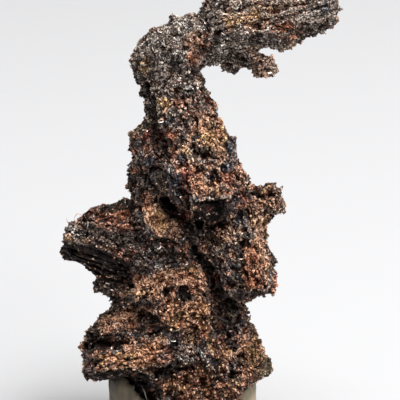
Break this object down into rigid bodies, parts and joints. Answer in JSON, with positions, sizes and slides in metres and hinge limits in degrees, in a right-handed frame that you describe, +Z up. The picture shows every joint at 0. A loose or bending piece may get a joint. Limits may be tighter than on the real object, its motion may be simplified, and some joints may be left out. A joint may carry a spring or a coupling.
{
  "type": "native silver specimen",
  "caption": "Spongy, ledge-stacked mass of tarnished native silver with an arm bent over to one side, standing in a lump of display putty.",
  "frame": {"origin": "the centre of the putty's flat underside, on the table", "axes": "+Z up, along the standing mass; +X to the right, the way the arm points; +Y away from the viewer, so the specimen's face looks along -Y"},
  "size_m": [0.0426, 0.0263, 0.071],
  "materials": {
    "silver": "tarnished native silver: black sulphide crust with copper-brown and tan grains, rough, with small metallic glints",
    "putty": "grey-olive display putty, dull, pressed by hand"
  },
  "bodies": {
    "root": {"silver_mass": "silver", "putty_base": "putty"}
  },
  "joints": []
}
